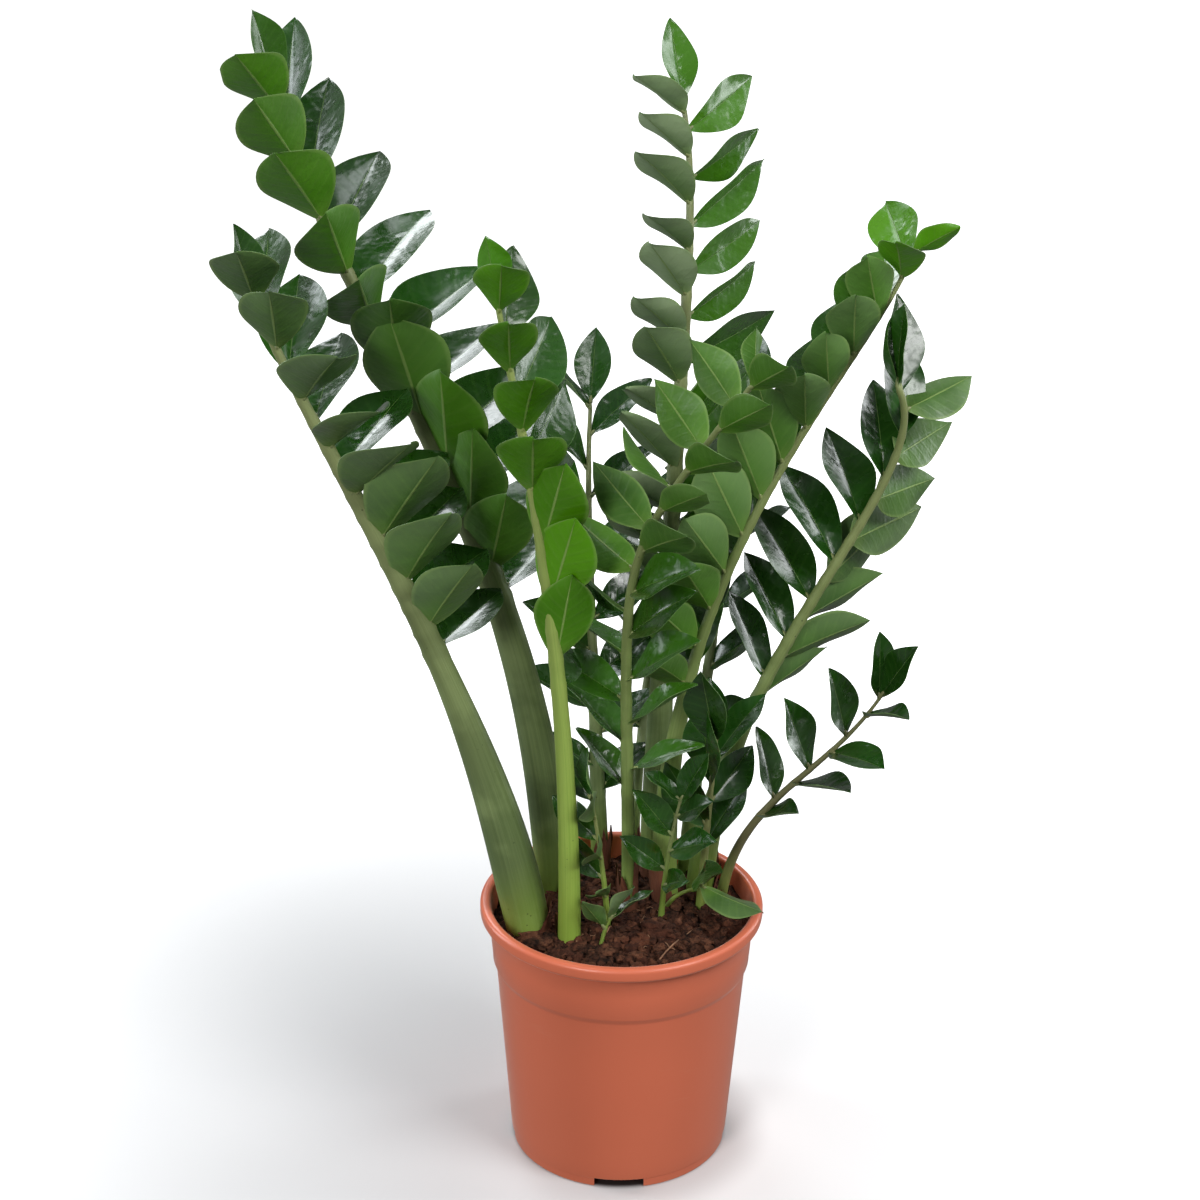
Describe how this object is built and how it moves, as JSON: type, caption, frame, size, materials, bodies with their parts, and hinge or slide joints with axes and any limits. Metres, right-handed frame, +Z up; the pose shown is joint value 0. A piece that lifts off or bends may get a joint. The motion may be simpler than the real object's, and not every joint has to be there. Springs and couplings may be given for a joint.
{
  "type": "potted plant",
  "caption": "ZZ plant with arching fronds of glossy oval leaves on thick tapering stalks, growing from soil in a round tapered nursery pot with a rolled rim.",
  "frame": {"origin": "middle of the pot's foot, on the surface that the pot stands on", "axes": "+Z up along the pot's axis, -Y towards the viewer of the picture, +X to the viewer's right"},
  "size_m": [0.5894, 0.4842, 0.96],
  "materials": {
    "pot": "satin terracotta-coloured plastic",
    "soil": "rough crumbly potting mix of peat and bark",
    "foliage": "waxy glossy leaves on satin green stalks"
  },
  "bodies": {
    "root": {"pot": "pot", "soil": "soil", "frond_left_low": "foliage", "frond_left_tall": "foliage", "frond_front": "foliage", "frond_centre_back": "foliage", "frond_right": "foliage", "frond_right_arch": "foliage", "frond_middle": "foliage", "frond_low_right": "foliage", "frond_short_right": "foliage", "frond_back_left": "foliage", "frond_back_right": "foliage", "frond_back_low": "foliage", "sprout_rim": "foliage", "sprout_front": "foliage", "sprout_middle": "foliage", "sprout_right": "foliage"}
  },
  "joints": []
}
